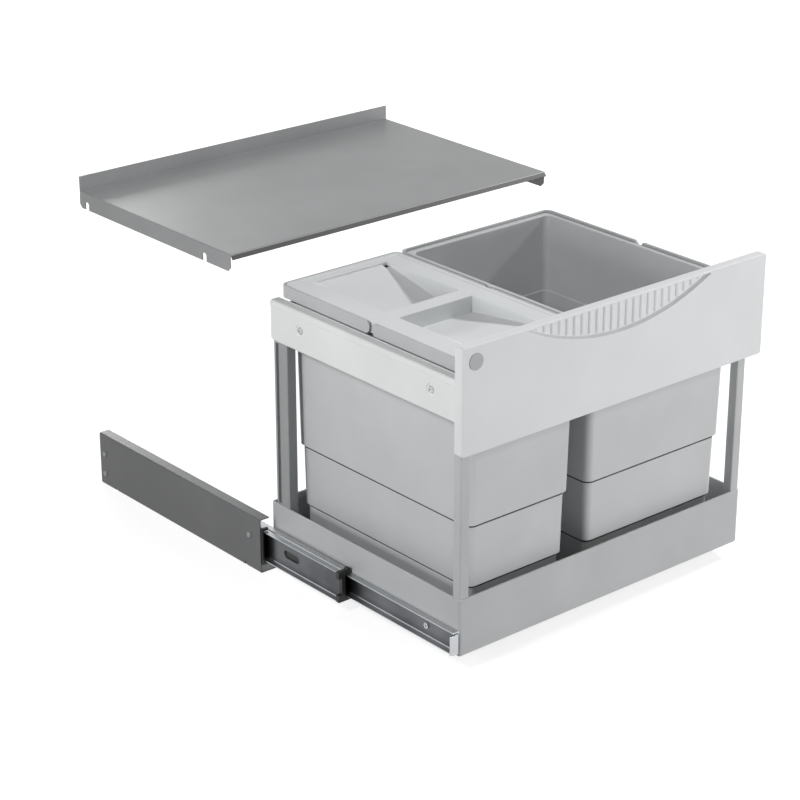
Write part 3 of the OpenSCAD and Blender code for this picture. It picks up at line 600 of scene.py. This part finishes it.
def bin_shell(name, x, wide):
    """One bin, drawn up its outside, over its rim and skirt, and down its inside."""
    def outline(z, steps, more, radius):
        return (wall(wide, z, steps) + more, wall(bin_deep, z, steps) + more, radius, z)

    def rim(less, radius, z):
        return (wide - less, bin_deep - less, radius, z)

    # the foot's rounded edge
    outlines = [outline(0.0195, 2, -0.010, 0.005), outline(0.0200, 2, -0.005, 0.007),
                outline(0.0235, 2, 0.0, 0.009)]
    # both steps, each above its undercut
    for z, steps, wall_r, undercut_r in ((lower_step, 2, 0.0105, 0.0095), (upper_step, 1, 0.011, 0.0099)):
        outlines += [outline(z - 0.0004, steps, 0.0, wall_r), outline(z, steps, -undercut, undercut_r),
                     outline(z + undercut_high, steps, -undercut, undercut_r),
                     outline(z + undercut_high + 0.0005, steps - 1, 0.0, 0.011)]
    # up to the rim, down the skirt's inside and up its outside, and over the rim
    outlines += [outline(rim_z - 0.0025, 0, 0.0, 0.011), rim(0.0120, 0.006, rim_z - 0.0025),
                 rim(0.0120, 0.006, skirt_z), rim(0.0082, 0.008, skirt_z),
                 rim(0.0082, 0.008, rim_z - 0.0015), rim(0.0100, 0.007, rim_z), outline(rim_z, 0, 0.0, 0.011)]
    # down the inside, past the ledge and both steps, to the floor
    outlines += [outline(rim_z - 0.0010, 0, -0.0034, 0.0095), outline(ledge_z + 0.0015, 0, -0.004, 0.009),
                 outline(ledge_z, 0, -0.007, 0.008), outline(0.1860, 0, -0.007, 0.008),
                 outline(0.1850, 1, -0.004, 0.008), outline(0.0985, 1, -0.004, 0.008),
                 outline(0.0975, 2, -0.004, 0.0075), outline(0.0265, 2, -0.004, 0.0075),
                 outline(0.0220, 2, -0.011, 0.005)]
    made = shell_of(name, x, bin_y, outlines)
    soften(made, 0.0003, 2, 30)
    return made


# light grey with a soft sheen; its grain is drawn at 0.8 mm, coarser than real, so that it shows
bin_plastic = coat("moulded_polypropylene_light_grey", "#c0c2c3", "#c6c8c9", 0.46, 0.8, 0.02)
# painted shade: the narrow undercut below each step is coloured dark, so that it reads as the dark line of
# shade under the step
undercut_painted_shade = coat("undercut_painted_shade_line", "#4e4f50", "#555657", 0.7, 0.8, 0.03)
bin_y, bin_deep, rim_z, skirt_z, ledge_z = -0.186, 0.372, 0.405, 0.392, 0.2930
lower_step, upper_step, undercut, undercut_high = 0.0926, 0.1796, 0.0022, 0.0031
bins = (("left", -0.140, 0.200), ("right", 0.1015, 0.277))
for name, x, wide in bins:
    bucket = bin_shell(name + "_bin", x, wide)
    dress(bucket, name + "_bin_body", "bin_plastic", bin_plastic, name + "_bin")
    # the undercut faces get the painted shade
    second_coat(bucket, undercut_painted_shade, lambda way, spot: any(
        step - 0.0005 < spot.z < step + undercut_high + 0.0002 for step in (lower_step, upper_step)))


# Handles: flat moulded strips bent round the rims, a front and a back half on each bin. Each
# turns on two pins in the skirt. The back one ends round, the front one almost square.
handle_low, handle_high, handle_thick, handle_bend = 0.391, 0.017, 0.0035, 0.00925
pin_r, pin_long, pin_y, pin_z = 0.0025, 0.0045, 0.012, 0.3995
# a shade darker than the bins, so that the strips stand out from the rims
handle_plastic = coat("moulded_polypropylene_grey", "#b2b4b5", "#b8babb", 0.42, 0.8, 0.02)
for name, x, wide in bins:
    half_wide = wide / 2 - handle_thick / 2
    for end, way, end_round in (("back", 1, 0.0084), ("front", -1, 0.003)):
        near, far = bin_y + way * 0.0035, bin_y + way * (bin_deep / 2 - handle_thick / 2)
        path = [(x + across, y, handle_low) for across, y in ((-half_wide, near), (-half_wide, far),
                                                              (half_wide, far), (half_wide, near))]
        strip = draw_wall(name + "_" + end + "_handle", path, (0, 0, handle_high))
        for bend_x in (x - half_wide, x + half_wide):
            choose(strip, "edges", lambda p: abs(p.x - bend_x) < hair and abs(p.y - far) < hair)
            bpy.ops.mesh.bevel(offset=handle_bend, segments=8, affect="EDGES")
        choose(strip, "verts", lambda p: abs(p.y - near) < hair)
        bpy.ops.mesh.bevel(offset=end_round, segments=8, affect="VERTICES")
        bpy.ops.mesh.select_all(action="SELECT")
        bpy.ops.mesh.normals_make_consistent(inside=False)
        bpy.ops.object.mode_set(mode="OBJECT")
        apply(strip, "SOLIDIFY", thickness=handle_thick, offset=0.0)
        pins = [rod(pin_r, pin_long, (x + across * (half_wide - 0.003), bin_y + way * pin_y, pin_z), "X", 24)
                for across in (-1, 1)]
        join(strip, *pins)
        soften(strip, 0.0005, 3, 50)
        dress(strip, name + "_" + end + "_handle", "bin_plastic", handle_plastic,
              name + "_bin_handle_" + end)


# Lid of the small bin: a thin moulded plate with two scooped pockets. The fingers reach into
# them and lift the lid by the bar between. A ring below drops into the bin.
lid_x, lid_z, lid_wide, lid_deep = -0.140, 0.408, 0.192, 0.364
border, dish = 0.006, 0.0006
# paler than the bins, with a soft sheen that shows how the pockets curve
lid_plastic = coat("moulded_polypropylene_pale_grey", "#d5d7d8", "#dbddde", 0.5, 0.8, 0.02)
clear()
bpy.ops.mesh.primitive_plane_add(size=1, location=(lid_x, bin_y, lid_z))
lid = bpy.context.active_object
lid.name = "lid"
lid.scale = (lid_wide, lid_deep, 1)
bpy.ops.object.transform_apply(location=True, scale=True)
bpy.ops.object.mode_set(mode="EDIT")
bpy.ops.mesh.select_all(action="SELECT")
bpy.ops.mesh.bevel(offset=0.008, segments=8, affect="VERTICES")
bpy.ops.mesh.inset(thickness=border)
bpy.ops.mesh.inset(thickness=0.0008, depth=-dish)
left_x, right_x = lid_x - 0.062, lid_x + 0.062
slope_x, grip_y = left_x + 0.034, bin_y + 0.005
grip_half, pocket_end, front_pocket, back_pocket = 0.013, 0.158, 0.0194, 0.0294
cuts = [((left_x, 0, 0), (1, 0, 0)), ((right_x, 0, 0), (1, 0, 0))]
for way in (-1, 1):
    cuts.append(((0, grip_y + way * grip_half, 0), (0, 1, 0)))
    cuts.append(((0, grip_y + way * pocket_end, 0), (0, 1, 0)))
for place, direction in cuts:
    choose(lid, "faces", lambda p: abs(p.z - lid_z + dish) < hair)
    bpy.ops.mesh.bisect(plane_co=place, plane_no=direction)
for way, deep in ((-1, front_pocket), (1, back_pocket)):
    near, far = grip_y + way * grip_half, grip_y + way * pocket_end
    first, last = min(near, far) - hair, max(near, far) + hair
    choose(lid, "faces", lambda p: left_x - hair < p.x < right_x + hair and first < p.y < last)
    bpy.ops.mesh.extrude_region_move(TRANSFORM_OT_translate={"value": (0, 0, -0.003)})
    # the pocket's floor falls from the far end to the grip bar, and its left side leans
    form = bmesh.from_edit_mesh(lid.data)
    for corner in form.verts:
        if corner.select:
            at_bar, at_left = abs(corner.co.y - near) < 1e-4, abs(corner.co.x - left_x) < 1e-4
            corner.co.z -= deep if at_bar else 0.0
            corner.co.y += way * 0.001 if at_bar else 0.0
            if at_left:
                corner.co.x = slope_x if at_bar else left_x + 0.008
    bmesh.update_edit_mesh(lid.data)
bpy.ops.object.mode_set(mode="OBJECT")
apply(lid, "BEVEL", width=0.0016, segments=3, limit_method="ANGLE", angle_limit=math.radians(20))
apply(lid, "SOLIDIFY", thickness=0.0022, offset=-1.0)
hole = 0.008
for way in (-1, 1):
    hole_y = grip_y + way * (pocket_end - hole / 2)
    cut(lid, block((right_x - hole, hole_y - hole / 2, 0.398), (right_x, hole_y + hole / 2, 0.410)))
plug_wide, plug_deep, plug_wall, plug_low, plug_high = 0.173, 0.345, 0.004, 0.397, 0.4061
plug = shell_of("plug", lid_x, bin_y, [
    (plug_wide, plug_deep, 0.009, plug_high), (plug_wide, plug_deep, 0.009, plug_low),
    (plug_wide - plug_wall, plug_deep - plug_wall, 0.007, plug_low),
    (plug_wide - plug_wall, plug_deep - plug_wall, 0.007, plug_high)], closed=False)
join(lid, plug)
soften(lid, 0.0003, 2, 60)
dress(lid, "lid", "lid_plastic", lid_plastic, "left_bin_lid")


# Cover shelf: steel sheet, 1.5 mm thick, with its back edge turned up, its sides turned down
# with hook notches, and its front edge bent to a nose. It hangs in the cabinet above the bins.
def at_side(way):
    """A test for the plate's edge at the right (1) or the left (-1)."""
    return lambda p: way * p.x > side_x - hair and p.y > near_y - hair and abs(p.z - plate_z) < hair


near_y, far_y, side_x, plate_z = 0.05175, 0.40625, 0.28025, 0.44225
back_up, side_down, nose, cover_sheet = 0.02175, 0.0232, (0, -0.0048, -0.0057), 0.0015
hook_r, hook_z = 0.0045, 0.426
# mid grey, half matt, with the same orange peel as the channels
cover_paint = coat("powder_coat_mid_grey", "#868788", "#8c8d8e", 0.42, 1.3, 0.05)
# painted shade: the nose is coloured black and dull for the shade under the bent front edge, so that it draws
# one dark line along the shelf's front
nose_painted_shade = coat("nose_painted_shade_black", "#1b1b1c", "#242425", 0.5, 1.3, 0.04)
clear()
bpy.ops.mesh.primitive_plane_add(size=1, location=(0, (near_y + far_y) / 2, plate_z))
cover = bpy.context.active_object
cover.name = "cover_shelf"
cover.scale = (2 * side_x, far_y - near_y, 1)
bpy.ops.object.transform_apply(location=True, scale=True)
for test, way in ((lambda p: p.y > far_y - hair, (0, 0, back_up)),
                  (lambda p: p.y < near_y + hair, nose),
                  (at_side(1), (0, 0, -side_down)), (at_side(-1), (0, 0, -side_down))):
    choose(cover, "edges", test)
    bpy.ops.mesh.extrude_region_move(TRANSFORM_OT_translate={"value": way})
bpy.ops.object.mode_set(mode="OBJECT")
apply(cover, "BEVEL", width=0.0014, segments=4, limit_method="ANGLE", angle_limit=math.radians(40))
apply(cover, "SOLIDIFY", thickness=cover_sheet, offset=0.0)
cutters = []
for y in (0.109, 0.388):
    cutters.append(rod(hook_r, 0.6, (0, y, hook_z)))
    cutters.append(block((-0.3, y - hook_r, 0.41), (0.3, y + hook_r, hook_z)))
for y in (0.051, 0.407):
    cutters.append(bar_on_edge(0.009, 0.63, (0, y, 0.4188)))
cut(cover, *cutters)
soften(cover, 0.00025)
dress(cover, "cabinet_side", "cover_paint", cover_paint, "cover_shelf")
# the nose's faces get the painted shade
second_coat(cover, nose_painted_shade, lambda way, spot: spot.y < near_y - 0.0013 and spot.z < plate_z - 0.0006)


# Floor and light: a matt floor in a white room. A small strong lamp stands high at the right.
# A broad low and a small high one light the front, two weaker ones the left side, and a broad
# one the back.
def seen_directly(tree):
    """One for rays from the camera, a mirror or a clear piece, and zero for the light on the object."""
    path = add(tree, "ShaderNodeLightPath", {})
    total = path.outputs["Is Camera Ray"]
    for kind in ("Is Glossy Ray", "Is Transmission Ray"):
        both = add(tree, "ShaderNodeMath", {"operation": "MAXIMUM"})
        tree.links.new(total, both.inputs[0])
        tree.links.new(path.outputs[kind], both.inputs[1])
        total = both.outputs["Value"]
    return total


# matt paper with a soft shadow, whitened by a glow that only the eye sees and that throws no light
paper = bpy.data.materials.new("plain_white_floor")
paper.use_nodes = True
tree = paper.node_tree
shine = tree.nodes["Principled BSDF"]
shine.inputs["Base Color"].default_value = linear("#a4a4a4")
shine.inputs["Roughness"].default_value = 0.95
shine.inputs["Specular IOR Level"].default_value = 0.0
place = add(tree, "ShaderNodeTexCoord", {}).outputs["Object"]
away = add(tree, "ShaderNodeVectorMath", {"operation": "LENGTH"}, Vector=place)
# the floor far from the frame gets less lamp light, so it is whitened more
whiten = add(tree, "ShaderNodeMapRange", {"From Min": 0.7, "From Max": 3.0, "To Min": 0.8, "To Max": 0.97},
             Value=away.outputs["Value"])
glow = add(tree, "ShaderNodeMath", {"operation": "MULTIPLY"})
tree.links.new(whiten.outputs["Result"], glow.inputs[0])
tree.links.new(seen_directly(tree), glow.inputs[1])
shine.inputs["Emission Color"].default_value = linear("#ffffff")
tree.links.new(glow.outputs["Value"], shine.inputs["Emission Strength"])
clear()
bpy.ops.mesh.primitive_plane_add(size=40.0, location=(0.0, 0.0, 0.0))
floor = bpy.context.active_object
floor.name = "floor"
floor.data.materials.append(paper)

# the room's white is seen in full, and its light on the frame is weak
world = bpy.data.worlds.new("white_room")
bpy.context.scene.world = world
world.use_nodes = True
tree = world.node_tree
sky = tree.nodes["Background"]
sky.inputs["Color"].default_value = linear("#ffffff")
level = add(tree, "ShaderNodeMapRange", {"To Min": 0.13, "To Max": 1.0}, Value=seen_directly(tree))
tree.links.new(level.outputs["Result"], sky.inputs["Strength"])
bpy.context.scene.view_settings.view_transform = "Standard"


def lamp(name, place, aim, wide, high, power):
    """A rectangular lamp at a place, turned towards its aim, with its power in watts."""
    light = bpy.data.lights.new(name, "AREA")
    light.shape = "RECTANGLE"
    light.size = wide
    light.size_y = high
    light.energy = power
    holder = bpy.data.objects.new(name, light)
    holder.location = place
    direction = [b - a for a, b in zip(place, aim)]
    holder.rotation_euler = mathutils.Vector(direction).to_track_quat("-Z", "Y").to_euler()
    bpy.context.scene.collection.objects.link(holder)


lamp("key", (2.8, -0.25, 2.1), (-0.1, -0.2, 0.4), 0.35, 0.35, 84.0)
lamp("front_low", (1.2, -3.0, 0.40), (0.0, -0.38, 0.25), 1.4, 0.4, 46.0)
lamp("front_high", (0.3, -2.2, 1.85), (0.0, -0.38, 0.35), 0.3, 0.3, 7.0)
lamp("left_low", (-1.4, -0.1, 0.50), (-0.25, -0.2, 0.35), 0.6, 0.3, 5.2)
lamp("left_high", (-1.5, -0.2, 1.26), (-0.25, -0.2, 0.35), 0.2, 0.2, 9.5)
lamp("back", (0.8, 3.0, 1.0), (0.0, 0.2, 0.25), 1.2, 0.8, 36.0)
